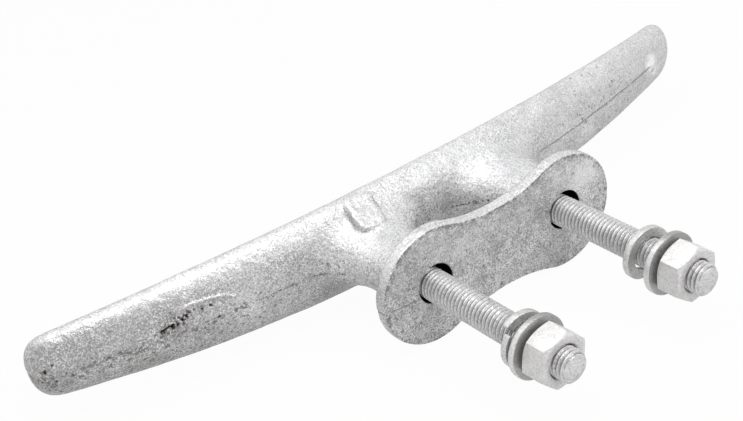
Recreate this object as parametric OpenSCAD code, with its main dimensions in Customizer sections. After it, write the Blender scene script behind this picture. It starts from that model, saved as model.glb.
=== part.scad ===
// Mooring cleat: one galvanised casting with a long upswept horn on two legs
// and a dog-bone foot, and two threaded studs with spring washers, flat
// washers and hexagon nuts. Millimetres. The foot's underside is Z = 0, the
// horn runs along X and the studs point down.

/* [Horn] */
// Length of the horn from tip to tip
horn_l = 270; // [200:1:400]
// Width of the horn at its middle
horn_w = 33; // [28:0.5:44]
// Thickness of the horn at its middle
horn_t = 17; // [13:0.5:22]
// Width of the horn just before its rounded tips
tip_w = 20.4; // [14:0.2:26]
// Thickness of the horn just before its rounded tips
tip_t = 12.4; // [8:0.2:16]
// Length over which each tip is rounded off
tip_round = 9; // [5:0.5:16]
// Bluntness of the tips: 2 is a plain round end, more is squarer
tip_power = 2.8; // [2:0.1:4]
// Height of the horn's centre line above the foot's underside, at the middle
horn_z = 38.7; // [32:0.1:60]
// How far the centre line has risen at the tips
horn_rise = 18.6; // [0:0.2:40]

/* [Legs] */
// Length of a leg's waist along the horn
leg_l = 24; // [16:0.5:30]
// Width of a leg's waist across the horn
leg_w = 18; // [14:0.5:24]
// How far a leg spreads along the horn where it joins the foot
foot_spread_l = 5.5; // [2:0.5:7]
// How far a leg spreads across the horn where it joins the foot
foot_spread_w = 5; // [2:0.5:7]
// How far a leg spreads along the horn where it joins the horn
head_spread_l = 13; // [4:0.5:16]
// How far a leg spreads across the horn where it joins the horn
head_spread_w = 5; // [2:0.5:7]

/* [Foot] */
// Thickness of the foot
foot_t = 5; // [3.5:0.1:9]
// Radius of the foot's two round ends
lobe_r = 19.5; // [18:0.5:26]
// Width of the foot's waist
waist_w = 29; // [22:0.5:34]
// Rounding of the foot's upper edge
edge_r = 1.5; // [0.4:0.1:2]
// Rounding of the edge of the foot's underside
sole_r = 0.5; // [0.2:0.1:1]
// Diameter of the clearance holes round the studs
hole_d = 13; // [11.5:0.1:15]
// Depth of the clearance holes
hole_depth = 7; // [6:0.5:10]

/* [Pad] */
// Length along the horn of the flat pad for markings, on the side of the near leg
pad_l = 9.5; // [5:0.5:12]
// Height of the pad
pad_h = 13.5; // [8:0.5:15]
// Radius of the pad's corners
pad_r = 3; // [0.5:0.1:4]
// How far the pad stands proud of the horn's side
pad_raise = 1.1; // [0.3:0.1:1.5]
// How far the pad's upper end lies below the horn's widest line
pad_drop = 1.3; // [0:0.1:3]
// Turn of the pad in its own plane
pad_turn = -8; // [-20:1:20]

/* [Studs] */
// Distance between the two studs
stud_pitch = 53.6; // [48:0.2:64]
// Diameter of the studs
stud_d = 10; // [8:0.1:11]
// How far the studs stand out below the foot
stud_out = 58.6; // [50:0.2:90]
// How deep the studs are screwed into the legs, from the foot's underside
stud_in = 24; // [16:0.5:27]
// Chamfer on the ends of the studs
stud_chamfer = 1.3; // [0.5:0.1:2]

/* [Nuts and washers] */
// Size of the nuts across their flats
nut_af = 16; // [15:0.5:19]
// Height of the nuts
nut_h = 8.4; // [6:0.2:10]
// Running gap all round between a stud and its nut
nut_gap = 0.05; // [0.02:0.01:0.1]
// Outer diameter of the flat washers
flat_d = 20; // [19:0.5:26]
// Thickness of the flat washers
flat_t = 2; // [1.6:0.1:3]
// Outer diameter of the spring washers
spring_d = 17.4; // [16:0.1:20]
// Thickness of the spring washers
spring_t = 2.2; // [1.8:0.1:3]
// How far the ends of a spring washer stand apart along the stud
spring_rise = 2.2; // [0.4:0.1:2.6]
// Angle of the slot in the spring washers
spring_slot = 9; // [4:1:20]
// Gap all round between a stud and its flat washer
flat_gap = 0.3; // [0.1:0.05:0.8]
// Gap all round between a stud and its spring washer
spring_gap = 0.4; // [0.1:0.05:0.8]
// Length of stud that shows past each nut
stud_tail = 4.3; // [3:0.1:12]
// Gap between a nut and the flat washer that lies on it
nut_slack = 1.2; // [0:0.1:2]
// Gap between the near stud's two washers
near_slack = 2; // [0.5:0.1:4]
// Gap between the far stud's two washers
far_slack = 6; // [0.5:0.1:9]

/* [Hidden] */

// Smoothness of the exact round forms
$fn = 72;
// Points round each ring of the horn and the legs
ring_n = 32;
// Rings along the horn, and rings up each leg
horn_rings = 56;
leg_rings = 18;
// Steps round a lobe, along a hollow and over an edge of the foot
lobe_steps = 36;
hollow_steps = 12;
edge_steps = 4;
// Depth of the small flat that ends each tip
tip_flat = 0.02;
// How far a leg runs into the horn and the foot where they join, and the pad into the leg
sink = 0.4;
pad_sink = 4;

// The end of the horn that lies towards -X is called near, the other far
near = -1;
far = 1;
// Share of a leg's height that each spread takes
foot_share = 0.3;
head_share = 0.55;
// The hollow arcs of the foot's waist: radius, centre, and the angle at which a lobe meets them
half_pitch = stud_pitch / 2;
half_waist = waist_w / 2;
hollow_r = (pow(half_pitch, 2) + pow(half_waist, 2) - pow(lobe_r, 2)) / (2 * (lobe_r - half_waist));
hollow_y = half_waist + hollow_r;
tangent_a = atan2(hollow_y, -half_pitch);
// How far a cutting form runs past the face that it cuts
cut = 1;
// How far off the leg's waist the pad's lower end lies
pad_rest = 1;
// The clearance holes are cast this far off the studs
hole_off_x = 0.4;
hole_off_y = -0.5;
// Heights of the nuts and washers on the studs, each its upper face
nut_z = -(stud_out - stud_tail - nut_h);
flat_z = nut_z + nut_slack + flat_t;
near_spring_z = flat_z + near_slack + spring_t + spring_rise;
far_spring_z = flat_z + far_slack + spring_t + spring_rise;
// How the nuts and the washers' slots are turned on their studs
near_turn = 45;
far_turn = 38;
near_slot = 226;
far_slot = 20;
// The side to which the loose washers lean
lean_angle = 140;
// Radius of the nuts' flat faces and depth of the lead into their bores
face_r = nut_af / 2 - 0.4;
bore_lead = 0.6;
// Rings along a spring washer
spring_rings = 60;

// Puts a form on a stud's axis at a height
module at_stud(side, z) {
    translate([side * half_pitch, 0, z]) children();
}

// The horn at distance x from its middle: u is 0 at the middle and 1 at a tip
function u_at(x) = abs(x) / (horn_l / 2);
function centre_z(x) = horn_z + horn_rise * pow(u_at(x), 2);
function half_w(x) = horn_w / 2 + (tip_w - horn_w) / 2 * pow(u_at(x), 2);
function half_t(x) = horn_t / 2 + (tip_t - horn_t) / 2 * u_at(x);
function tip_share(x) = max(0, 1 - (horn_l / 2 - abs(x)) / tip_round);
function tip_fall(x) = pow(1 - pow(tip_share(x), tip_power), 1 / tip_power);

// The horn's underside at a point, straight below its axis or out towards its side
function under_z(x, y) = centre_z(x) - half_t(x) * sqrt(max(0, 1 - pow(y / half_w(x), 2)));

// A quarter-round spread: 0 where it starts, rising to 1 with a level end
function spread(v) = 1 - sqrt(max(0, 1 - pow(min(1, max(0, v)), 2)));

// A closed skin over a list of rings that all have as many points
module skin(rings) {
    rows = len(rings);
    n = len(rings[0]);
    points = [for (ring = rings, p = ring) p];
    sides = [for (i = [0 : rows - 2], j = [0 : n - 1])
        let (a = i * n + j, b = i * n + (j + 1) % n, c = b + n, d = a + n)
        each [[a, d, c], [a, c, b]]];
    first_cap = [for (j = [0 : n - 1]) j];
    last_cap = [for (j = [n - 1 : -1 : 0]) (rows - 1) * n + j];
    polyhedron(points = points, faces = concat([first_cap], sides, [last_cap]), convexity = 4);
}

module horn() {
    reach = horn_l / 2 - tip_flat;
    stations = [for (i = [0 : horn_rings]) -cos(180 * i / horn_rings) * reach];
    skin([for (x = stations)
        [for (j = [0 : ring_n - 1])
            [x,
             half_w(x) * tip_fall(x) * cos(360 * j / ring_n),
             centre_z(x) + half_t(x) * tip_fall(x) * sin(360 * j / ring_n)]]]);
}

// One leg: ovals that follow the horn's underside, spreading at both ends
module leg(side) {
    middle = side * half_pitch;
    bottom = foot_t - sink;
    levels = [for (i = [0 : leg_rings]) (1 - cos(180 * i / leg_rings)) / 2];
    skin([for (v = levels)
        let (foot = spread(1 - v / foot_share), head = spread((v - 1 + head_share) / head_share),
             reach_l = leg_l / 2 + foot_spread_l * foot + head_spread_l * head,
             reach_w = leg_w / 2 + foot_spread_w * foot + head_spread_w * head)
        [for (j = [0 : ring_n - 1])
            let (x = middle + reach_l * cos(360 * j / ring_n), y = reach_w * sin(360 * j / ring_n))
            [x, y, bottom + v * (under_z(x, y) + sink - bottom)]]]);
}

// The foot's outline, drawn in by inset: a lobe and a hollow, then the same turned half round
function foot_half(inset) = concat(
    [for (i = [0 : lobe_steps]) let (a = -tangent_a + 2 * tangent_a * i / lobe_steps)
        [half_pitch + (lobe_r - inset) * cos(a), (lobe_r - inset) * sin(a)]],
    [for (i = [1 : hollow_steps - 1])
        let (a = tangent_a - 180 + (180 - 2 * tangent_a) * i / hollow_steps)
        [(hollow_r + inset) * cos(a), hollow_y + (hollow_r + inset) * sin(a)]]);
function foot_outline(inset) = let (half = foot_half(inset)) concat(half, -half);

// The flat dog-bone foot, its edges rounded top and bottom
module foot() {
    turns = [for (i = [0 : edge_steps]) 90 * i / edge_steps];
    lower = [for (a = turns) [sole_r * (1 - sin(a)), sole_r * (1 - cos(a))]];
    upper = [for (a = turns) [edge_r * (1 - cos(a)), foot_t - edge_r * (1 - sin(a))]];
    skin([for (level = concat(lower, upper))
        [for (p = foot_outline(level[0])) [p[0], p[1], level[1]]]]);
}

// The flat pad for markings: it leans from the horn's widest line in to the side of the near leg
module pad() {
    top_y = half_w(half_pitch);
    reach = pad_drop + pad_h;
    lean = asin(min(0.9, (top_y - leg_w / 2 - pad_rest) / reach));
    translate([near * half_pitch, -top_y, centre_z(half_pitch)]) rotate([90 + lean, 0, 0])
        translate([0, pad_h / 2 - reach, -pad_sink]) rotate([0, 0, pad_turn])
            linear_extrude(pad_sink + pad_raise)
                offset(pad_r) square([pad_l - 2 * pad_r, pad_h - 2 * pad_r], center = true);
}

// The casting: its skins join into one body of the exact length, with two stud holes
module casting() {
    color("silver") difference() {
        resize([horn_l, 0, 0]) {
            horn();
            for (side = [near, far]) leg(side);
            foot();
            pad();
        }
        for (side = [near, far]) at_stud(side, 0) {
            translate([hole_off_x, hole_off_y, -cut]) cylinder(h = hole_depth + cut, d = hole_d);
            cylinder(h = stud_in, d = stud_d);
        }
    }
}

// A threaded rod with chamfered ends, drawn plain
module stud(side) {
    r = stud_d / 2;
    color("gainsboro") at_stud(side, 0) rotate_extrude()
        polygon([[0, -stud_out], [r - stud_chamfer, -stud_out], [r, -stud_out + stud_chamfer],
                 [r, stud_in], [0, stud_in]]);
}

// A hexagon nut with both faces chamfered, its upper face at z
module nut(side, z, turn) {
    corner_r = nut_af / 2 / cos(30);
    bore_r = stud_d / 2 + nut_gap;
    wide_r = corner_r + cut;
    chamfer = (wide_r - face_r) * tan(30);
    color("lightgray") at_stud(side, z - nut_h) rotate([0, 0, turn]) difference() {
        intersection() {
            cylinder(h = nut_h, r = corner_r, $fn = 6);
            rotate_extrude() polygon([[0, 0], [face_r, 0], [wide_r, chamfer],
                                      [wide_r, nut_h - chamfer], [face_r, nut_h], [0, nut_h]]);
        }
        translate([0, 0, -cut]) cylinder(h = nut_h + 2 * cut, r = bore_r);
        for (face = [0, 1]) translate([0, 0, face * nut_h]) mirror([0, 0, face])
            translate([0, 0, -bore_lead])
                cylinder(h = 2 * bore_lead, r1 = bore_r + 2 * bore_lead, r2 = bore_r);
    }
}

// A loose washer leans to one side until its bore is near the stud
module lean(gap) {
    translate([(gap - nut_gap) * cos(lean_angle), (gap - nut_gap) * sin(lean_angle), 0]) children();
}

// A flat washer with its upper face at z
module flat_washer(side, z) {
    color("silver") at_stud(side, z - flat_t) lean(flat_gap) difference() {
        cylinder(h = flat_t, d = flat_d);
        translate([0, 0, -cut]) cylinder(h = flat_t + 2 * cut, d = stud_d + 2 * flat_gap);
    }
}

// A split spring washer whose higher end reaches z, wound against the thread
module spring_washer(side, z, slot) {
    inner_r = stud_d / 2 + spring_gap;
    outer_r = spring_d / 2;
    turn = 360 - spring_slot;
    color("darkgray") at_stud(side, z) lean(spring_gap) rotate([0, 0, slot + spring_slot / 2])
        skin([for (i = [0 : spring_rings])
            let (a = turn * i / spring_rings, drop = spring_rise * i / spring_rings)
            [for (corner = [[inner_r, 0], [outer_r, 0], [outer_r, -spring_t], [inner_r, -spring_t]])
                [corner[0] * cos(a), corner[0] * sin(a), corner[1] - drop]]]);
}

casting();
stud(near);  // near_stud
spring_washer(near, near_spring_z, near_slot);  // near_spring_washer
flat_washer(near, flat_z);  // near_flat_washer
nut(near, nut_z, near_turn);  // near_nut
stud(far);  // far_stud
spring_washer(far, far_spring_z, far_slot);  // far_spring_washer
flat_washer(far, flat_z);  // far_flat_washer
nut(far, nut_z, far_turn);  // far_nut
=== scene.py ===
import math
import random

import bmesh
import bpy
import numpy as np
from mathutils import Matrix, Vector, noise
from mathutils.bvhtree import BVHTree
from mathutils.kdtree import KDTree


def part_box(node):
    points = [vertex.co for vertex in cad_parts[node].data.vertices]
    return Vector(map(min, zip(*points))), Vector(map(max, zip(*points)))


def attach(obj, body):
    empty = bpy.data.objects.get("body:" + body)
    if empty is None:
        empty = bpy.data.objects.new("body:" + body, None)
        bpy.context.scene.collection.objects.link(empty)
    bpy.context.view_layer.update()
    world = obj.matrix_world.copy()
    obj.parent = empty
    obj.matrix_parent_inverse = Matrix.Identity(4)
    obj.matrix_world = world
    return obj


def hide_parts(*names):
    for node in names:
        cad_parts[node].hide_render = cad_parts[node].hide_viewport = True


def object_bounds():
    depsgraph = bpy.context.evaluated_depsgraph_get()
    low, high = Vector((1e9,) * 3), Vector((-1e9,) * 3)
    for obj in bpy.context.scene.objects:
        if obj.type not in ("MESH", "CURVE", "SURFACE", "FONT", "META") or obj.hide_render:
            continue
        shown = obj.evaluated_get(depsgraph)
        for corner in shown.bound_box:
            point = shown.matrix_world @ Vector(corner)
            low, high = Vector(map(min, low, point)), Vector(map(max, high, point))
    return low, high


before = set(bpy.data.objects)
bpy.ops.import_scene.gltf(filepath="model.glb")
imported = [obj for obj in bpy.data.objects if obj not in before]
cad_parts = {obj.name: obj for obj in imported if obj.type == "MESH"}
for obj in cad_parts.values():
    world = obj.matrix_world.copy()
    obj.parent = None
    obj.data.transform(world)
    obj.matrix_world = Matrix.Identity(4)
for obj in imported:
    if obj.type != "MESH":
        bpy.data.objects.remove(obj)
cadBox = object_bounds()
print("frame loaded,", len(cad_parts), "nodes")

mm = 0.001
sides = ("near", "far")

# the camera that matches the photograph
photo = {
    "width": 743,  # pixels
    "height": 421,
    "eye": (-0.22502, -0.23493, -0.27546),
    "aim": (-0.02869, -0.01725, 0.02525),
    "up": (0.41251, -0.84436, 0.34189),
    "lens": 66.735,
    "sensor": 36,
    "clipStart": 0.01,
}


def addCamera():
    eye, aim = Vector(photo["eye"]), Vector(photo["aim"])
    back = (eye - aim).normalized()
    right = Vector(photo["up"]).cross(back).normalized()
    up = back.cross(right)
    data = bpy.data.cameras.new("photoCamera")
    data.lens = photo["lens"]
    data.sensor_width = photo["sensor"]
    data.clip_start = photo["clipStart"]
    cam = bpy.data.objects.new("photoCamera", data)
    cam.matrix_world = Matrix((right, up, back)).transposed().to_4x4()
    cam.location = eye
    bpy.context.scene.collection.objects.link(cam)
    bpy.context.scene.camera = cam
    return right, up, back


photoRight, photoUp, photoBack = addCamera()


def rayThrough(pixel):
    # from the eye through a pixel of the photograph
    spread = photo["sensor"] / photo["lens"] / photo["width"]
    x = (pixel[0] - photo["width"] / 2) * spread
    y = (photo["height"] / 2 - pixel[1]) * spread
    return (photoRight * x + photoUp * y - photoBack).normalized()


# small mesh helpers

def shadeSmooth(mesh, smooth=True):
    mesh.polygons.foreach_set("use_smooth", [smooth] * len(mesh.polygons))


def fromBmesh(name, bm, smooth=True):
    mesh = bpy.data.meshes.new(name)
    bm.normal_update()
    bm.to_mesh(mesh)
    bm.free()
    shadeSmooth(mesh, smooth)
    obj = bpy.data.objects.new(name, mesh)
    bpy.context.scene.collection.objects.link(obj)
    return obj


def weldedCopy(node, name):
    bm = bmesh.new()
    bm.from_mesh(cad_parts[node].data)
    bmesh.ops.remove_doubles(bm, verts=bm.verts, dist=0.001 * mm)
    return fromBmesh(name, bm)


def bakeModifiers(obj):
    graph = bpy.context.evaluated_depsgraph_get()
    mesh = bpy.data.meshes.new_from_object(obj.evaluated_get(graph))
    obj.modifiers.clear()
    obj.data = mesh


def points(mesh):
    co = np.empty(len(mesh.vertices) * 3)
    mesh.vertices.foreach_get("co", co)
    return co.reshape(-1, 3)


def normals(mesh):
    out = np.empty(len(mesh.vertices) * 3)
    mesh.vertex_normals.foreach_get("vector", out)
    return out.reshape(-1, 3)


def setPoints(mesh, co):
    mesh.vertices.foreach_set("co", co.ravel())
    mesh.update()


def keepOnMesh(obj, name, values):
    kept = obj.data.attributes.new(name, "FLOAT", "POINT")
    kept.data.foreach_set("value", values)


def smoothStep(value, low, high):
    t = np.clip((value - low) / (high - low), 0, 1)
    return t * t * (3 - 2 * t)


def studPlace(side):
    low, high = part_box(side + "_stud")
    return (low + high) / 2


def fromAxis(co, axis):
    # distance of every point from an upright axis
    return np.hypot(co[:, 0] - axis.x, co[:, 1] - axis.y)


def spin(bm, profile, centre, steps):
    # turns an open profile of (radius, height) about a vertical axis, both ends on the axis
    rings = []
    for radius, height in profile:
        ring = []
        for k in range(steps if radius else 1):
            a = 2 * math.pi * k / steps
            place = (centre[0] + radius * math.cos(a), centre[1] + radius * math.sin(a), height)
            ring.append(bm.verts.new(place))
        rings.append(ring)
    for low, high in zip(rings, rings[1:]):
        for k in range(steps):
            n = (k + 1) % steps
            if len(low) == 1:
                bm.faces.new((low[0], high[n], high[k]))
            elif len(high) == 1:
                bm.faces.new((low[k], low[n], high[0]))
            else:
                bm.faces.new((low[k], low[n], high[n], high[k]))


# the galvanised casting

casting = {
    "voxel": 0.7 * mm,
    "evenRounds": 5,  # rounds that take out the grid's ripple
    "evenSteps": (0.5, -0.53),  # shrinking and growing in turn, so that nothing gets smaller
    "padEven": 0.45,  # share of that at the pad
    # rounds of smoothing that fill the creases and leave the rounds alone
    "creases": {"rounds": 60, "normalsEvery": 6, "lift": 0.55, "slide": 0.3, "least": 0.002 * mm},
    "wave": (0.16 * mm, 13 * mm),  # height and size of the slow unevenness of the cast skin
    "ripple": (0.07 * mm, 4.5 * mm),
    "peel": (0.035 * mm, 2.0 * mm),
    # the two halves of the mould met this far out of line, a step that fades towards the foot
    "parting": {"step": 0.16 * mm, "half": 0.35 * mm, "fade": 5 * mm, "foot": (1 * mm, 4 * mm),
                "wander": 0.25 * mm, "wanderSize": 9 * mm, "seed": 9},
    "refineNear": (1.6 * mm, 0.9 * mm),  # the mesh is halved twice, this near to the marks
    "hollowScale": 0.05 * mm,
    "holeRadius": 6.5 * mm,
    "holeOff": (0.4 * mm, -0.5 * mm),  # the holes were drilled this far beside the studs
    "holeDepth": 7 * mm,
    "holeSteps": 64,
    "mouthFlare": 0.35 * mm,
    "mouthSteps": 6,
    "boreDepth": 24 * mm,
    "boreSteps": 48,
    "plugOver": (0.9 * mm, 0.5 * mm),  # how much wider and deeper the plugs are than the holes
    "drillFrom": -1 * mm,
    "shave": 1.2 * mm,  # the foot is made this much deeper, then ground flat
    "grinder": 3.6 * mm,  # thickness of the block that takes it off
    "soleGrid": 1.0 * mm,
    "soleMargin": 2 * mm,
    "hornPerFoot": 2.5,  # the horn is at least this many times longer than the foot
    "flush": 0.01 * mm,  # what is this near to the foot's underside lies in it
    "darkFrom": 0.3 * mm,  # painted shade darkens the holes' insides from this height
    "darkOver": 1 * mm,  # and this far round
    "rimShade": 1.4 * mm,  # width of the sole's margin inside its rim
    "rimGap": 2 * mm,  # round the holes there is no such margin
    "padMiddle": (365, 211),  # pixel of the photograph
    "padReach": 9 * mm,  # the creases round the pad stay crisp this far from its middle
    "padFade": (0.75, 1.1),
    "crisp": 50,  # degrees; a sharper turn than this is shaded as an edge
}
# marks of the casting and the zinc, each placed by pixels of the photograph
marks = {
    "ridge": {"path": ((181, 310), (190, 304.5), (200, 301.5), (211, 298), (222, 295.5), (235, 296)),
              "height": 0.5 * mm, "width": 0.55 * mm},
    "gash": {"path": ((163, 333.5), (167, 329), (174, 326)), "width": 0.7 * mm, "depth": 0.6 * mm,
             "black": 1.25},
    # small pits strewn along a line, their radii in mm
    "cluster": {"path": ((163, 334), (170, 328), (178, 322), (185, 317)), "spread": 1.2 * mm,
                "pits": 40, "radius": (0.3, 0.75), "black": 1.2, "seed": 7},
    # single pits: x and y of the pixel, radius in mm, blackness
    "pits": (
        # under the ridge
        (189, 312.5, 0.9, 1.2), (194, 309.5, 0.6, 1.1), (202.5, 309, 0.8, 1.4), (210.5, 305, 0.65, 1.4),
        (219.5, 317, 0.55, 1.5),
        # on the near tip
        (45, 373.5, 0.9, 1.5), (52, 366, 0.6, 1.6), (42, 383, 0.6, 1.5), (57, 382, 0.55, 1.6),
        # wide, faint ones round the cluster
        (172, 319, 1.9, 0.5), (178, 328, 2.3, 0.5), (164, 337, 1.5, 0.6),
        # a row from the near tip up the arm
        (73.5, 376, 0.8, 1.1), (83, 369.5, 0.8, 0.7), (95, 363, 0.8, 0.6), (109, 358.5, 0.8, 0.6),
        (120, 353.5, 0.7, 0.7),
        # a row between the legs
        (457, 206, 0.4, 1.2), (463, 205, 0.45, 1.4), (469, 203.5, 0.35, 1.2), (476, 202.5, 0.4, 1.2),
        (483, 201.5, 0.4, 1.0), (488, 200.5, 0.4, 1.2)),
    "pitDepth": 0.35 * mm,
    "pitSteep": 1.6,
    "stainSteep": 1.3,
    # how uneven the outlines of pits and gash are: share, size, seed
    "ragged": (0.9, 0.9 * mm, 5),
    # soft patches of paler (above 0) and darker colour, some of them painted shade: pixel, radius, change
    "tonesAndShade": (
        ((253, 292), 13 * mm, 0.6),  # near arm
        ((262, 318), 13 * mm, 0.6),
        ((215, 335), 9 * mm, 0.3),
        ((583, 178), 8 * mm, 0.9),  # far lobe of the foot
        ((346, 285), 7 * mm, -0.9),  # painted shade beside the near leg, under the horn; the next patch too
        ((322, 293), 7 * mm, -0.6),
        ((62, 386), 9 * mm, -0.6),  # near tip
        ((150, 362), 9 * mm, -0.4),
        ((168, 326), 4 * mm, -0.8),  # round the gash
        ((420, 320), 7 * mm, 0.3),  # near lobe of the foot
        ((510, 232), 9 * mm, -0.2),
        ((590, 168), 5 * mm, 0.4),
        ((649.5, 62), 3 * mm, 3.2),  # pale spots in the far tip's dents
        ((653, 70), 2 * mm, 2.4),
        ((660, 58), 3 * mm, -0.4),
        ((400, 300), 8 * mm, -0.3),
        ((584, 133), 5 * mm, 0.8)),  # far arm, below the parting line
    # a fine crack across the sole, from the near hole to the rim
    "crack": {"path": ((388, 314), (422, 299)), "width": 0.3 * mm, "core": 0.09 * mm, "fade": 2 * mm},
    # pixel, radius, depth
    "dents": (((648.8, 61.5), 3.4 * mm, 1.1 * mm), ((653.5, 71), 1.9 * mm, 0.6 * mm)),
    "dentSteep": 1.5,
}


def plugHoles(obj):
    bm = bmesh.new()
    bm.from_mesh(obj.data)
    wider, deeper = casting["plugOver"]
    radius, top = casting["holeRadius"] + wider, casting["boreDepth"] + deeper
    low = -casting["shave"]
    for side in sides:
        at = studPlace(side)
        spin(bm, [(0, low), (radius, low), (radius, top), (0, top)], (at.x, at.y), casting["boreSteps"])
    for vert in bm.verts:
        if vert.co.z < casting["flush"]:
            vert.co.z = low
    bm.to_mesh(obj.data)
    bm.free()


class Net:
    # the points of a mesh and who neighbours whom
    def __init__(self, mesh):
        self.mesh = mesh
        self.co = points(mesh)
        edges = np.empty(len(mesh.edges) * 2, int)
        mesh.edges.foreach_get("vertices", edges)
        self.a, self.b = edges.reshape(-1, 2).T
        count = len(self.co)
        self.valence = np.bincount(self.a, minlength=count) + np.bincount(self.b, minlength=count)

    def towardsMiddle(self):
        # from each point to the middle of its neighbours
        count = len(self.co)
        total = np.stack([np.bincount(self.a, self.co[self.b, k], count)
                          + np.bincount(self.b, self.co[self.a, k], count) for k in range(3)], 1)
        return total / self.valence[:, None] - self.co

    def even(self, steps, share):
        for step in steps:
            self.co = self.co + step * self.towardsMiddle() * share[:, None]
        setPoints(self.mesh, self.co)

    def fillCreases(self, fill, share):
        # a point moves towards its neighbours' middle only where that is outwards
        for turn in range(fill["rounds"]):
            step = self.towardsMiddle()
            if turn % fill["normalsEvery"] == 0:
                setPoints(self.mesh, self.co)
                out = normals(self.mesh)
            outward = (step * out).sum(1)
            along = step - outward[:, None] * out
            lift = fill["lift"] * np.maximum(outward - fill["least"], 0)
            self.co = self.co + (fill["slide"] * along + out * lift[:, None]) * share[:, None]
        setPoints(self.mesh, self.co)


noiseShift = (7.31, 3.17, 5.77)  # one step of the seed moves the noise this far


def noiseAt(co, size, seed):
    shift = Vector([seed * s for s in noiseShift])
    return np.array([noise.noise(Vector(p) / size + shift) for p in co])


class Skin:
    # finds the points of the casting that the photograph's pixels show
    def __init__(self, obj):
        self.tree = BVHTree.FromObject(obj, bpy.context.evaluated_depsgraph_get())

    def at(self, pixel):
        place = self.tree.ray_cast(Vector(photo["eye"]), rayThrough(pixel))[0]
        return np.array(place)


def fromPoint(co, place):
    return np.linalg.norm(co - place, axis=1)


def fromPath(co, path):
    # distance of every point from a broken line
    best = np.full(len(co), np.inf)
    for a, b in zip(path, path[1:]):
        along = b - a
        t = np.clip(((co - a) @ along) / (along @ along), 0, 1)
        best = np.minimum(best, np.linalg.norm(co - a - t[:, None] * along, axis=1))
    return best


def pitList(skin):
    # (place, radius, blackness) of every pit, the cluster's drawn at random along its line
    pits = [(skin.at((px, py)), radius * mm, black) for px, py, radius, black in marks["pits"]]
    cluster = marks["cluster"]
    rng = random.Random(cluster["seed"])
    line = [skin.at(p) for p in cluster["path"]]
    for _ in range(cluster["pits"]):
        k = rng.randrange(len(line) - 1)
        t = rng.random()
        spread = [rng.gauss(0, cluster["spread"] / 2) for _ in range(3)]
        middle = line[k] * (1 - t) + line[k + 1] * t + spread
        pits.append((middle, rng.uniform(*cluster["radius"]) * mm, cluster["black"]))
    return pits


def refine(obj, lines, pits, margin):
    # halves the edges near the marks
    co = points(obj.data)
    near = np.zeros(len(co), bool)
    for line in lines:
        near |= fromPath(co, line) < margin
    for place, radius, _ in pits:
        near |= fromPoint(co, place) < radius + margin / 2
    bm = bmesh.new()
    bm.from_mesh(obj.data)
    edges = [e for e in bm.edges if near[e.verts[0].index] and near[e.verts[1].index]]
    bmesh.ops.subdivide_edges(bm, edges=edges, cuts=1, use_grid_fill=True)
    bm.to_mesh(obj.data)
    bm.free()


def partingStep(co):
    # how far each point lies back because of the step between the mould's halves
    parting = casting["parting"]
    wander = noiseAt(co, parting["wanderSize"], parting["seed"])
    y = co[:, 1] + parting["wander"] * wander
    step = parting["step"] * smoothStep(y, -parting["half"], parting["half"])
    return step * np.exp(-np.maximum(y, 0) / parting["fade"]) * smoothStep(co[:, 2], *parting["foot"])


def unevenSkin(obj):
    skin = Skin(obj)
    ridge, gash = marks["ridge"], marks["gash"]
    ridgeLine = [skin.at(p) for p in ridge["path"]]
    gashLine = [skin.at(p) for p in gash["path"]]
    pits = pitList(skin)
    for margin in casting["refineNear"]:
        refine(obj, (ridgeLine, gashLine), pits, margin)
    mesh = obj.data
    co, out = points(mesh), normals(mesh)
    lift = np.zeros(len(co))
    for seed, kind in enumerate(("wave", "ripple", "peel"), 1):
        height, size = casting[kind]
        lift += height * noiseAt(co, size, seed)
    lift -= partingStep(co)
    lift += ridge["height"] * np.exp(-(fromPath(co, ridgeLine) / ridge["width"]) ** 2)
    share, size, seed = marks["ragged"]
    ragged = 1 + share * noiseAt(co, size, seed)
    stain = np.zeros(len(co))
    for place, radius, black in pits:
        away = fromPoint(co, place) / radius * ragged
        lift -= marks["pitDepth"] * np.exp(-away ** 2 * marks["pitSteep"])
        stain = np.maximum(stain, black * np.exp(-away ** 2 * marks["stainSteep"]))
    away = fromPath(co, gashLine) / gash["width"] * ragged
    lift -= gash["depth"] * np.exp(-away ** 2)
    stain = np.maximum(stain, gash["black"] * np.exp(-away ** 2))
    for pixel, radius, depth in marks["dents"]:
        away = fromPoint(co, skin.at(pixel)) / radius
        lift -= depth * np.clip(1 - away ** 2, 0, 1) ** marks["dentSteep"]
    setPoints(mesh, co + out * lift[:, None])
    keepOnMesh(obj, "stain", stain)
    # how far each point lies below its neighbours' middle, kept for painted shade in the creases
    hollow = (Net(mesh).towardsMiddle() * normals(mesh)).sum(1)
    keepOnMesh(obj, "hollow", hollow / casting["hollowScale"])


def cutAway(obj, cutter):
    cut = obj.modifiers.new("cut", "BOOLEAN")
    cut.operation = "DIFFERENCE"
    cut.solver = "MANIFOLD"
    cut.object = cutter
    bakeModifiers(obj)
    bpy.data.objects.remove(cutter)


def grindSole(obj):
    # a block with a fine grid on top takes off all that lies below the dock's face
    low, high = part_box("casting")
    over = casting["soleMargin"]
    half = (Vector(high) - Vector(low)) / 2 + Vector((over, over, 0))
    reach = (half.x / casting["hornPerFoot"], half.y)
    cells = [int(2 * r / casting["soleGrid"]) for r in reach]
    bm = bmesh.new()
    bmesh.ops.create_grid(bm, x_segments=cells[0], y_segments=cells[1], size=1)
    bmesh.ops.scale(bm, verts=bm.verts, vec=(*reach, 1))
    grown = bmesh.ops.extrude_face_region(bm, geom=list(bm.faces), use_keep_orig=True)
    for vert in grown["geom"]:
        if isinstance(vert, bmesh.types.BMVert):
            vert.co.z = -casting["grinder"]
    bmesh.ops.recalc_face_normals(bm, faces=bm.faces)
    cutAway(obj, fromBmesh("grinder", bm))


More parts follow.
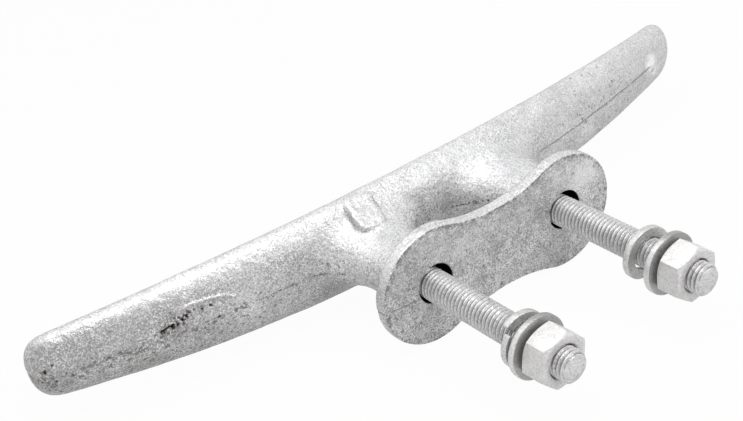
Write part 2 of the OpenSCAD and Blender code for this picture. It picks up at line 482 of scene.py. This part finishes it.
def cutHoles(obj):
    r, flare, depth = casting["holeRadius"], casting["mouthFlare"], casting["holeDepth"]
    studRadius = (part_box("near_stud")[1].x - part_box("near_stud")[0].x) / 2
    quarter = [math.radians(90 * k / casting["mouthSteps"]) for k in range(casting["mouthSteps"] + 1)]
    mouth = [(r + flare * (1 - math.sin(a)), flare * (1 - math.cos(a))) for a in quarter]
    start = casting["drillFrom"]
    hole = [(0, start), (r + flare, start)] + mouth + [(r, depth), (0, depth)]
    bore = [(0, depth / 2), (studRadius, depth / 2), (studRadius, casting["boreDepth"]),
            (0, casting["boreDepth"])]
    for profile, off, steps in ((hole, casting["holeOff"], casting["holeSteps"]),
                                (bore, (0, 0), casting["boreSteps"])):
        bm = bmesh.new()
        for side in sides:
            at = studPlace(side)
            spin(bm, profile, (at.x + off[0], at.y + off[1]), steps)
        cutAway(obj, fromBmesh("drill", bm))


def shadeMarks(obj):
    # the soft patches (some of them painted shade), the painted shade inside the holes, and the margin of
    # the sole just inside its rim
    net = Net(obj.data)
    co, a, b = net.co, net.a, net.b
    off = np.min([fromAxis(co, studPlace(side)) for side in sides], 0)
    z, over = co[:, 2], casting["darkOver"]
    inside = (z > casting["darkFrom"]) & (z < casting["boreDepth"] + over)
    deep = inside & (off < casting["holeRadius"] + over)
    flat = np.abs(z) < casting["flush"]
    rim = set(a[flat[a] & ~flat[b]]) | set(b[flat[b] & ~flat[a]])
    rim = [k for k in rim if off[k] > casting["holeRadius"] + casting["rimGap"]]
    tree = KDTree(len(rim))
    for number, k in enumerate(rim):
        tree.insert(co[k], number)
    tree.balance()
    margin = np.zeros(len(co))
    for k in np.nonzero(flat)[0]:
        margin[k] = math.exp(-(tree.find(co[k])[2] / casting["rimShade"]) ** 2)
    skin = Skin(obj)
    toneAndShade = np.zeros(len(co))
    for pixel, radius, change in marks["tonesAndShade"]:
        toneAndShade += change * np.exp(-(fromPoint(co, skin.at(pixel)) / radius) ** 2)
    keepOnMesh(obj, "deep", deep.astype(float))
    keepOnMesh(obj, "margin", margin)
    keepOnMesh(obj, "toneAndShade", toneAndShade)


def buildCasting():
    obj = weldedCopy("casting", "cleat_casting")
    plugHoles(obj)
    skin = obj.modifiers.new("skin", "REMESH")
    skin.mode = "VOXEL"
    skin.voxel_size = casting["voxel"]
    bakeModifiers(obj)
    net = Net(obj.data)
    pad = Skin(obj).at(casting["padMiddle"])
    away = smoothStep(fromPoint(net.co, pad) / casting["padReach"], *casting["padFade"])
    share = casting["padEven"] + (1 - casting["padEven"]) * away
    net.even(casting["evenSteps"] * casting["evenRounds"], share)
    net.fillCreases(casting["creases"], away)
    unevenSkin(obj)
    grindSole(obj)
    cutHoles(obj)
    shadeMarks(obj)
    shadeSmooth(obj.data)
    obj.data.set_sharp_from_angle(angle=math.radians(casting["crisp"]))
    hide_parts("casting")
    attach(obj, "cleat")
    print("casting,", len(obj.data.polygons), "faces")
    return obj


# the threaded studs

stud = {
    "pitch": 1.5 * mm,
    "threadDepth": 0.82 * mm,
    "profile": (1.0, 0.93, 0.55, 0.12, 0.0, 0.12, 0.55, 0.93),  # share of the depth over one pitch
    "round": 40,
    "chamfer": 1.2 * mm,
    "chamferSteep": 1.6,
    "cleanEnd": 0.3 * mm,  # the grooves get no painted shade this near to the end
    "crisp": 40,  # degrees; a sharper turn than this is shaded as an edge
    "weld": 0.004 * mm,
    "sliver": 1e-12,  # square metres
}


def buildStud(side):
    low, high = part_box(side + "_stud")
    centre, radius = (low + high) / 2, (high.x - low.x) / 2
    profile, around, pitch = stud["profile"], stud["round"], stud["pitch"]
    rows = len(profile)
    last = (int((high.z - low.z) / pitch) + 3) * rows
    bm = bmesh.new()
    grid = []
    for i in range(last + 1):
        line = []
        for k in range(around):
            z = low.z - pitch + pitch * (i / rows + k / around)
            z = min(max(z, low.z), high.z)
            r = radius - stud["threadDepth"] * (1 - profile[i % rows])
            r = min(r, radius - stud["chamfer"] + (z - low.z) * stud["chamferSteep"])
            a = 2 * math.pi * k / around
            line.append(bm.verts.new((centre.x + r * math.cos(a), centre.y + r * math.sin(a), z)))
        grid.append(line)
    # each row of points climbs one pitch in a round, so its end joins the start of the row above
    for i in range(last):
        for k in range(around - 1):
            bm.faces.new((grid[i][k], grid[i][k + 1], grid[i + 1][k + 1], grid[i + 1][k]))
        above = i + rows
        if above < last:
            bm.faces.new((grid[i][-1], grid[above][0], grid[above + 1][0], grid[i + 1][-1]))
    bmesh.ops.remove_doubles(bm, verts=bm.verts, dist=stud["weld"])
    slivers = [f for f in bm.faces if f.calc_area() < stud["sliver"]]
    bmesh.ops.delete(bm, geom=slivers, context="FACES_ONLY")
    ends = [e for e in bm.edges if e.is_boundary]
    bmesh.ops.holes_fill(bm, edges=ends, sides=0)
    obj = fromBmesh(side + "_threaded_stud", bm)
    obj.data.set_sharp_from_angle(angle=math.radians(stud["crisp"]))
    co = points(obj.data)
    # painted shade in the thread's grooves, darker the deeper
    grooveShade = (radius - fromAxis(co, centre)) / stud["threadDepth"]
    keepOnMesh(obj, "grooveShade", np.where(co[:, 2] > low.z + stud["cleanEnd"], grooveShade, 0))
    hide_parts(side + "_stud")
    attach(obj, "cleat")
    print(side, "stud,", len(obj.data.polygons), "faces")
    return obj


# nuts and washers: the machined forms with their edges softened by the zinc

hardware = {
    # the faces' painted shade: how dark they are inside their bright rim
    "nut": {"edge": 0.28 * mm, "dullAndShade": 0, "slot": "galvanised_nut"},
    "flat_washer": {"edge": 0.32 * mm, "dullAndShade": 0.85, "slot": "galvanised_washer"},
    "spring_washer": {"edge": 0.35 * mm, "dullAndShade": 0.6, "slot": "spring_steel"},
}
riders = {"nut": "_nut", "flat_washer": "_washer", "spring_washer": "_spring"}
softening = {
    "segments": 3,
    "sharperThan": 28,  # degrees; sharper edges than this are softened
    "flatWithin": 1,  # degrees; faces this level with each other become one first
    "brightRim": 0.45 * mm,
    "boreGap": 0.2 * mm,  # the shade of the bore starts this far off the stud
    "boreShade": 0.5 * mm,  # and fades over this width
}


def buildHardware(side, kind):
    facts = hardware[kind]
    obj = weldedCopy(side + "_" + kind, side + "_soft_" + kind)
    join = bmesh.new()
    join.from_mesh(obj.data)
    flat = math.radians(softening["flatWithin"])
    bmesh.ops.dissolve_limit(join, angle_limit=flat, verts=join.verts, edges=join.edges)
    join.to_mesh(obj.data)
    join.free()
    soft = obj.modifiers.new("soft", "BEVEL")
    soft.width = facts["edge"]
    soft.segments = softening["segments"]
    soft.limit_method = "ANGLE"
    soft.angle_limit = math.radians(softening["sharperThan"])
    soft.use_clamp_overlap = True
    bakeModifiers(obj)
    shadeSmooth(obj.data)
    # painted shade: dark towards the bore, and darker inside the bright rim
    axis = studPlace(side)
    away = fromAxis(points(obj.data), axis)
    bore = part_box(side + "_stud")[1].x - axis.x + softening["boreGap"]
    shade = 1 - smoothStep(away, bore, bore + softening["boreShade"])
    inside = 1 - smoothStep(away, away.max() - softening["brightRim"], away.max())
    keepOnMesh(obj, "grooveShade", np.maximum(facts["dullAndShade"] * inside, shade))
    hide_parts(side + "_" + kind)
    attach(obj, side + riders[kind])
    print(side, kind, len(obj.data.polygons), "faces")
    return obj


castingObj = buildCasting()
pieces = {"stud": [buildStud(side) for side in sides]}
for kind in hardware:
    pieces[kind] = [buildHardware(side, kind) for side in sides]


# materials

class Wire:
    # one socket; arithmetic on it adds Math nodes
    def __init__(self, maker, socket):
        self.maker, self.socket = maker, socket

    def math(self, operation, *values):
        return self.maker.node("ShaderNodeMath", {"operation": operation}, dict(enumerate(values)))

    def __add__(self, other):
        return self.math("ADD", self, other)

    def __radd__(self, other):
        return self.math("ADD", other, self)

    def __sub__(self, other):
        return self.math("SUBTRACT", self, other)

    def __rsub__(self, other):
        return self.math("SUBTRACT", other, self)

    def __mul__(self, other):
        return self.math("MULTIPLY", self, other)

    def __rmul__(self, other):
        return self.math("MULTIPLY", other, self)

    def __abs__(self):
        return self.math("ABSOLUTE", self)


class Finish:
    # a material, or the world, and its node tree
    def __init__(self, owner):
        self.owner = owner
        owner.use_nodes = True
        self.tree = owner.node_tree
        self.tree.nodes.clear()

    def node(self, kind, settings=None, inputs=None, out=0):
        node = self.tree.nodes.new(kind)
        for key, value in (settings or {}).items():
            setattr(node, key, value)
        for key, value in (inputs or {}).items():
            slot = node.inputs[key]
            if isinstance(value, Wire):
                self.tree.links.new(value.socket, slot)
            else:
                slot.default_value = value
        return Wire(self, node.outputs[out]) if len(node.outputs) else None

    def place(self):
        return self.node("ShaderNodeTexCoord", out="Object")

    def kept(self, name):
        # a value that was kept on the mesh
        return self.node("ShaderNodeAttribute", {"attribute_name": name}, out="Fac")

    def blotch(self, size, detail, rough, seed):
        # noise with blotches of about this size, as a value from 0 to 1
        return self.node("ShaderNodeTexNoise", {"noise_dimensions": "4D"}, {
            "Vector": self.place(), "W": seed, "Scale": 0.5 / size, "Detail": detail, "Roughness": rough})

    def range(self, value, low, high, toLow=0.0, toHigh=1.0):
        return self.node("ShaderNodeMapRange", {"interpolation_type": "SMOOTHSTEP"}, {
            "Value": value, "From Min": low, "From Max": high, "To Min": toLow, "To Max": toHigh})

    def mix(self, factor, first, second):
        # for colours, a Mix node's sockets are numbers 0, 6 and 7, and 2 is its result
        return self.node("ShaderNodeMix", {"data_type": "RGBA"}, {0: factor, 6: first, 7: second}, out=2)

    def bump(self, height, strength, distance, below=None):
        inputs = {"Height": height, "Strength": strength, "Distance": distance}
        if below:
            inputs["Normal"] = below
        return self.node("ShaderNodeBump", None, inputs)

    def finish(self, colour, roughness, metallic, normal):
        shader = self.node("ShaderNodeBsdfPrincipled", None, {
            "Base Color": colour, "Roughness": roughness, "Metallic": metallic, "Normal": normal,
            "IOR": zinc["index"]})
        self.node("ShaderNodeOutputMaterial", None, {"Surface": shader})
        return self.owner


zinc = {
    "light": (0.65, 0.65, 0.66, 1),
    "grey": (0.51, 0.51, 0.52, 1),
    # the sole's grey, which is also the painted shade on the near arm
    "foot": (0.34, 0.34, 0.345, 1),
    "spark": (0.90, 0.90, 0.91, 1),
    "dark": (0.11, 0.105, 0.10, 1),
    "rust": (0.12, 0.10, 0.09, 1),
    "brownPatches": (0.22, 0.20, 0.185, 1),
    # near-black of the pits, and of the painted shade inside the holes
    "hole": (0.012, 0.012, 0.012, 1),
    "roughness": 0.21,
    "metallic": 0.2,
    "index": 2.3,  # a high index gives the white shine of zinc over the grey
    "lineMiddle": 0.25 * mm,  # the parting line crosses from one side of the horn's middle to the other
    "lineTilt": -0.0068,
    "lineWander": 1.2 * mm,
    # strength and depth
    "bumps": {"lumps": (1.0, 0.45 * mm), "dimples": (1.0, 0.30 * mm), "grain": (1.0, 0.15 * mm)},
    "lineBump": (0.8, 0.15 * mm),
    "soleCover": 0.85,
    # share of the fine soot: everywhere, more below, and less in some places; less on the upper side so
    # that its highlight stays clean, which keeps that side paler, a painted highlight in part
    "soot": {"all": 0.72, "below": 0.1, "less": {"farArm": 0.5, "above": 0.4, "clean": 0.5}},
    # a mark is broken up by the flecks: share without them, and how much they add
    "brokenHollowShade": (0.2, 1.6),
    "brokenStain": (0.45, 1.1),
    "rougher": {"patches": 0.06, "specks": 0.25, "deep": 0.3},
    "duller": {"black": 1, "deep": 1, "soot": 0.3, "specks": 0.25},
    "dullMetallic": 0.75,  # dull places lose their shine by being dark metal
}
# size of the blotches, detail, roughness and seed of each noise
noises = {
    "patches": (8 * mm, 3, 0.6, 1),
    "grain": (0.24 * mm, 2, 0.7, 2),
    "mottle": (1.8 * mm, 4, 0.7, 3),
    "lumps": (2.2 * mm, 2, 0.5, 4),
    "flecks": (0.60 * mm, 2, 0.6, 5),
    "busy": (4 * mm, 3, 0.6, 6),
    "wander": (6 * mm, 1, 0.5, 7),
    "dots": (0.7 * mm, 2, 0.6, 8),
    "brownPatches": (5 * mm, 3, 0.65, 9),
    "dimples": (0.8 * mm, 2, 0.55, 11),
    "marginFlecks": (3 * mm, 3, 0.7, 12),
}
# where each zone of the casting starts and where it is full, along an axis or off the parting line
zones = {
    "sole": ("z", 0.3 * mm, 0.05 * mm),
    "nearArm": ("x", -45 * mm, -75 * mm),
    "farArm": ("x", 40 * mm, 60 * mm),
    "below": ("y", -4 * mm, 4 * mm),
    "above": ("y", -3 * mm, -10 * mm),
    # the near arm below its highlight, where shade is painted
    "armShade": ("x", -38 * mm, -68 * mm),
    "armShadeSide": ("y", -13 * mm, -8 * mm),
    "pocked": ("x", 45 * mm, 75 * mm),
    "pockedEnd": ("x", 115 * mm, 95 * mm),
    "line": ("off", 0.42 * mm, 0.14 * mm),
    "lineSide": ("off", 2.5 * mm, 0.5 * mm),
    "lineEnd": ("x", 119 * mm, 116 * mm),
}
# each effect: the values of its noise or mark from which it starts and is full,
# what its place adds to that noise, and how much it covers of the zinc with which colour
effects = {
    "patches": {"fade": (0.32, 0.68), "add": {"toneAndShade": 0.12, "farArm": -0.06}},
    "mottle": {"fade": (0.36, 0.68), "add": {"toneAndShade": 0.14}},
    "busy": {"fade": (0.40, 0.60, 0.7, 1.0)},
    "clean": {"fade": (0.3, 2.0)},
    "dots": {"fade": (0.49, 0.56), "add": {"farArm": 0.14}},
    "armShade": {"cover": 0.8, "with": "foot"},
    "paler": {"fade": (0.1, 2.0), "cover": 0.9, "with": "spark"},
    "darker": {"fade": (-0.1, -1.6), "cover": 0.85, "with": "dark"},
    "hollow": {"fade": (0.3, 1.6), "cover": 0.6, "with": "dark"},
    "soot": {"fade": (0.50, 0.63), "cover": 1, "with": "dark"},
    "sparks": {"fade": (0.49, 0.37), "cover": 0.8, "with": "spark"},
    # brown patches, more of them on the near arm's lower side, darker towards the bottom there, fewer on
    # the upper side
    "brownPatches": {"fade": (0.5, 0.72), "add": {"nearBelow": 0.12, "above": -0.06},
             "cover": 0.4, "with": "brownPatches"},
    "specks": {"fade": (0.65, 0.70), "add": {"nearBelow": 0.08, "lineSide": 0.05, "sole": 0.04,
                                             "pocked": 0.06, "above": -0.03},
               "cover": 0.85, "with": "dark"},
    "line": {"cover": 0.8, "with": "dark"},
    "crack": {"cover": 0.75, "with": "dark"},
    "stained": {"fade": (0.2, 0.6), "cover": 0.85, "with": "rust"},
    "black": {"fade": (0.8, 1.2), "cover": 0.9, "with": "hole"},
    "marginFlecks": {"fade": (0.8, 0.9), "add": {"marginFlecks": 0.6, "above": 0.05}, "cover": 0.9, "with": "dark"},
    # painted shade inside the holes
    "deep": {"cover": 1, "with": "hole"},
}


def onSole(pixel):
    # the point of the foot's underside that a pixel of the photograph shows
    eye, ray = Vector(photo["eye"]), rayThrough(pixel)
    return eye - ray * (eye.z / ray.z)


def soleCrack(f, x, y, sole):
    crack = marks["crack"]
    start, end = (onSole(p) for p in crack["path"])
    lean = (end.y - start.y) / (end.x - start.x)
    across = abs(y - start.y - (x - start.x) * lean)
    line = f.range(across, crack["width"], crack["core"]) * sole
    line = line * f.range(x, start.x, start.x + crack["fade"])
    return line * f.range(x, end.x, end.x - crack["fade"])


def castingFinish():
    f = Finish(bpy.data.materials.new("galvanised_casting"))
    noisy = {name: f.blotch(*facts) for name, facts in noises.items()}
    mark = {name: f.kept(name) for name in ("deep", "margin", "stain", "toneAndShade", "hollow")}
    place = f.place()
    axes = {k.lower(): f.node("ShaderNodeSeparateXYZ", None, {"Vector": place}, out=k) for k in "XYZ"}
    wavy = axes["y"] + (noisy["wander"] - 0.5) * zinc["lineWander"]
    axes["off"] = abs(wavy - zinc["lineMiddle"] - axes["x"] * zinc["lineTilt"])
    at = {name: f.range(axes[axis], low, high) for name, (axis, low, high) in zones.items()}
    at["nearBelow"] = at["nearArm"] * at["below"]
    at["pocked"] = at["pocked"] * at["pockedEnd"]
    at["lineSide"] = at["lineSide"] * (1 - at["farArm"]) * (1 - at["sole"])
    at["toneAndShade"], at["marginFlecks"] = mark["toneAndShade"], noisy["marginFlecks"]

    def shown(name, value):
        for spot, share in effects[name].get("add", {}).items():
            value = value + share * at[spot]
        return f.range(value, *effects[name]["fade"])

    def coat(colour, name, mask):
        return f.mix(mask * effects[name]["cover"], colour, zinc[effects[name]["with"]])

    def broken(value, shares):
        return value * (shares[0] + shares[1] * noisy["flecks"])

    # pale and grey patches, painted shade on the near arm below its highlight, the sole mottled
    patches = shown("patches", noisy["patches"])
    colour = f.mix(patches, zinc["grey"], zinc["light"])
    colour = coat(colour, "armShade", at["armShade"] * at["armShadeSide"])
    mottled = f.mix(shown("mottle", noisy["mottle"]), zinc["foot"], zinc["light"])
    colour = f.mix(at["sole"] * zinc["soleCover"], colour, mottled)
    colour = coat(colour, "paler", shown("paler", mark["toneAndShade"]))
    # darker patches, among them the painted shade beside the near leg
    colour = coat(colour, "darker", shown("darker", mark["toneAndShade"]))
    # painted shade in the creases, broken up by the flecks
    colour = coat(colour, "hollow", shown("hollow", broken(mark["hollow"], zinc["brokenHollowShade"])))
    # fine dark and bright grain
    busy = shown("busy", noisy["busy"])
    at["clean"] = shown("clean", mark["toneAndShade"])
    sooty = busy * (zinc["soot"]["all"] + zinc["soot"]["below"] * at["below"])
    for spot, less in zinc["soot"]["less"].items():
        sooty = sooty * (1 - less * at[spot])
    soot = shown("soot", noisy["grain"]) * sooty
    colour = coat(colour, "soot", soot)
    colour = coat(colour, "sparks", shown("sparks", noisy["grain"]) * busy)
    colour = coat(colour, "brownPatches", shown("brownPatches", noisy["brownPatches"]))
    specks = shown("specks", noisy["flecks"])
    colour = coat(colour, "specks", specks)
    # the mould's parting line, whole on the far arm and broken into dots on the near one
    line = at["line"] * shown("dots", noisy["dots"]) * (1 - at["sole"]) * at["lineEnd"]
    colour = coat(colour, "line", line)
    colour = coat(colour, "crack", soleCrack(f, axes["x"], wavy, at["sole"]))
    # the pits, the sole's dark-flecked margin and the painted shade inside the holes
    blotted = broken(mark["stain"], zinc["brokenStain"])
    black = shown("black", blotted)
    colour = coat(colour, "stained", shown("stained", blotted))
    colour = coat(colour, "black", black)
    # dark flecks along the sole's margin just inside its rim
    colour = coat(colour, "marginFlecks", shown("marginFlecks", noisy["flecks"]) * mark["margin"])
    colour = coat(colour, "deep", mark["deep"])
    made = {"patches": patches, "specks": specks, "soot": soot, "black": black, "deep": mark["deep"]}
    rough, dullAndShade = zinc["roughness"], 0
    for name, share in zinc["rougher"].items():
        rough = rough + share * made[name]
    for name, share in zinc["duller"].items():
        dullAndShade = f.node("ShaderNodeMath", {"operation": "MAXIMUM"}, {0: share * made[name], 1: dullAndShade})
    normal = None
    for name, facts in zinc["bumps"].items():
        normal = f.bump(noisy[name], *facts, normal)
    normal = f.bump(1 - line, *zinc["lineBump"], normal)
    return f.finish(colour, rough, zinc["metallic"] + zinc["dullMetallic"] * dullAndShade, normal)


hardwareLooks = {
    "stud": {"colour": (0.68, 0.67, 0.675, 1), "roughness": 0.24, "speckle": 0.45, "metallic": 0.4,
             "seed": 10},
    "nut": {"colour": (0.70, 0.69, 0.685, 1), "roughness": 0.36, "speckle": 0.25, "metallic": 0.2,
            "seed": 13},
    "flat_washer": {"colour": (0.74, 0.74, 0.735, 1), "roughness": 0.26, "speckle": 0.35, "metallic": 0.3,
                    "seed": 16},
    "spring_washer": {"colour": (0.70, 0.70, 0.695, 1), "roughness": 0.26, "speckle": 0.35, "metallic": 0.3,
                      "seed": 19},
}
satin = {
    # size of the blotches, detail and roughness of each noise
    "cloud": (2.5 * mm, 3, 0.6),
    "grain": (0.30 * mm, 2, 0.6),
    "lumps": (1.1 * mm, 2, 0.5),
    "cloudFade": (0.35, 0.65),
    "cloudShade": 0.82,  # share of the colour's brightness that the clouds keep
    "cloudCover": 0.6,
    "cloudRough": 0.12,
    "speckleFade": (0.50, 0.68),
    "sparkFade": (0.49, 0.34),
    "sparkCover": 0.4,
    "grooveFade": (0.35, 1.0),
    "grooveCover": 0.8,
    "lumpDepth": 0.16 * mm,
    "grainDepth": 0.08 * mm,
}


def hardwareFinish(name, colour, roughness, speckle, metallic, seed):
    f = Finish(bpy.data.materials.new(name))
    cloud = f.range(f.blotch(*satin["cloud"], seed), *satin["cloudFade"])
    grain = f.blotch(*satin["grain"], seed + 1)
    shaded = tuple(c * satin["cloudShade"] for c in colour[:3]) + (1,)
    base = f.mix(cloud * satin["cloudCover"], colour, shaded)
    base = f.mix(f.range(grain, *satin["speckleFade"]) * speckle, base, zinc["dark"])
    base = f.mix(f.range(grain, *satin["sparkFade"]) * satin["sparkCover"], base, zinc["spark"])
    # painted shade in the grooves, round the bores and on the washers' faces
    grooveShade = f.range(f.kept("grooveShade"), *satin["grooveFade"])
    base = f.mix(grooveShade * satin["grooveCover"], base, zinc["dark"])
    normal = f.bump(f.blotch(*satin["lumps"], seed + 2), 1.0, satin["lumpDepth"])
    normal = f.bump(grain, 1.0, satin["grainDepth"], normal)
    return f.finish(base, roughness + satin["cloudRough"] * cloud, metallic, normal)


def dress(obj, material):
    obj.data.materials.clear()
    obj.data.materials.append(material)


dress(castingObj, castingFinish())
for kind, looks in hardwareLooks.items():
    made = hardwareFinish("galvanised_" + kind, **looks)
    for obj in pieces[kind]:
        dress(obj, made)
print("materials on")


# floor, world and lamps; the object lies on its side, as the photograph shows it

stage = {
    "floorSize": 1.6,
    "gap": 0.3 * mm,
    "white": (1, 1, 1, 1),
    "matt": (0.63, 0.63, 0.63, 1),
    "shadowShare": 0.04,
    "mirrored": 0.45,  # share of the floor's white that shines back from the metal
    "ambient": 0.19,
    "frontFill": 0.50,
    "frontDim": 0.4,
    "frontFade": (-0.1, 0.7),
    "lampAway": 0.85,
}
# around: degrees round the view from its right over its top; forward: degrees from there to the camera
lamps = {
    "top": {"around": 90, "forward": 42, "size": 0.5, "watts": 2.9},
    "left": {"around": 120, "forward": 20, "size": 1.0, "watts": 3.0},
    "right": {"around": 30, "forward": 42, "size": 0.5, "watts": 1.6},
}


def addFloor():
    bm = bmesh.new()
    half = stage["floorSize"] / 2
    y = cadBox[1][1] + stage["gap"]
    corners = ((-half, -half), (half, -half), (half, half), (-half, half))
    bm.faces.new([bm.verts.new((x, y, z)) for x, z in corners])
    floor = fromBmesh("floor", bm, smooth=False)
    f = Finish(bpy.data.materials.new("pale_floor"))
    # white to the camera but for a share that takes the shadow, and clear from below
    white = f.node("ShaderNodeEmission", None, {"Color": stage["white"], "Strength": 1.0})
    matt = f.node("ShaderNodeBsdfDiffuse", None, {"Color": stage["matt"]})
    camera, glossy = (f.node("ShaderNodeLightPath", out=k) for k in ("Is Camera Ray", "Is Glossy Ray"))
    seen = (camera + glossy * stage["mirrored"]) * (1 - stage["shadowShare"])
    surface = f.node("ShaderNodeMixShader", None, {0: seen, 1: matt, 2: white})
    behind = f.node("ShaderNodeNewGeometry", out="Backfacing")
    clear = f.node("ShaderNodeBsdfTransparent", None, {"Color": stage["white"]})
    both = f.node("ShaderNodeMixShader", None, {0: behind, 1: surface, 2: clear})
    f.node("ShaderNodeOutputMaterial", None, {"Surface": both})
    dress(floor, f.owner)


def addWorld():
    f = Finish(bpy.data.worlds.new("studio"))
    camera, glossy, clear = (f.node("ShaderNodeLightPath", out=k)
                             for k in ("Is Camera Ray", "Is Glossy Ray", "Is Transmission Ray"))
    # the photographer's side fills the shadows and mirrors darker in the metal
    way = f.node("ShaderNodeTexCoord", out="Generated")
    facing = f.node("ShaderNodeVectorMath", {"operation": "DOT_PRODUCT"}, {0: way, 1: photoBack},
                    out="Value")
    front = f.range(facing, *stage["frontFade"])
    mirrored = (glossy + clear) * (1 - front * stage["frontDim"])
    lighting = (1 - glossy - clear) * (stage["ambient"] + front * stage["frontFill"])
    strength = camera + (1 - camera) * (mirrored + lighting)
    light = f.node("ShaderNodeBackground", None, {"Color": stage["white"], "Strength": strength})
    f.node("ShaderNodeOutputWorld", None, {"Surface": light})
    bpy.context.scene.world = f.owner


def addLamps():
    middle = (Vector(cadBox[0]) + Vector(cadBox[1])) / 2
    for name, facts in lamps.items():
        around, forward = math.radians(facts["around"]), math.radians(facts["forward"])
        level = photoRight * math.cos(around) + photoUp * math.sin(around)
        towards = level * math.cos(forward) + photoBack * math.sin(forward)
        data = bpy.data.lights.new(name, "AREA")
        data.shape = "DISK"
        data.size = facts["size"]
        data.energy = facts["watts"]
        lamp = bpy.data.objects.new(name, data)
        lamp.location = middle + towards * stage["lampAway"]
        lamp.rotation_euler = (-towards).to_track_quat("-Z", "Y").to_euler()
        bpy.context.scene.collection.objects.link(lamp)


addFloor()
addWorld()
addLamps()
bpy.context.scene.view_settings.view_transform = "Standard"
print("stage set")
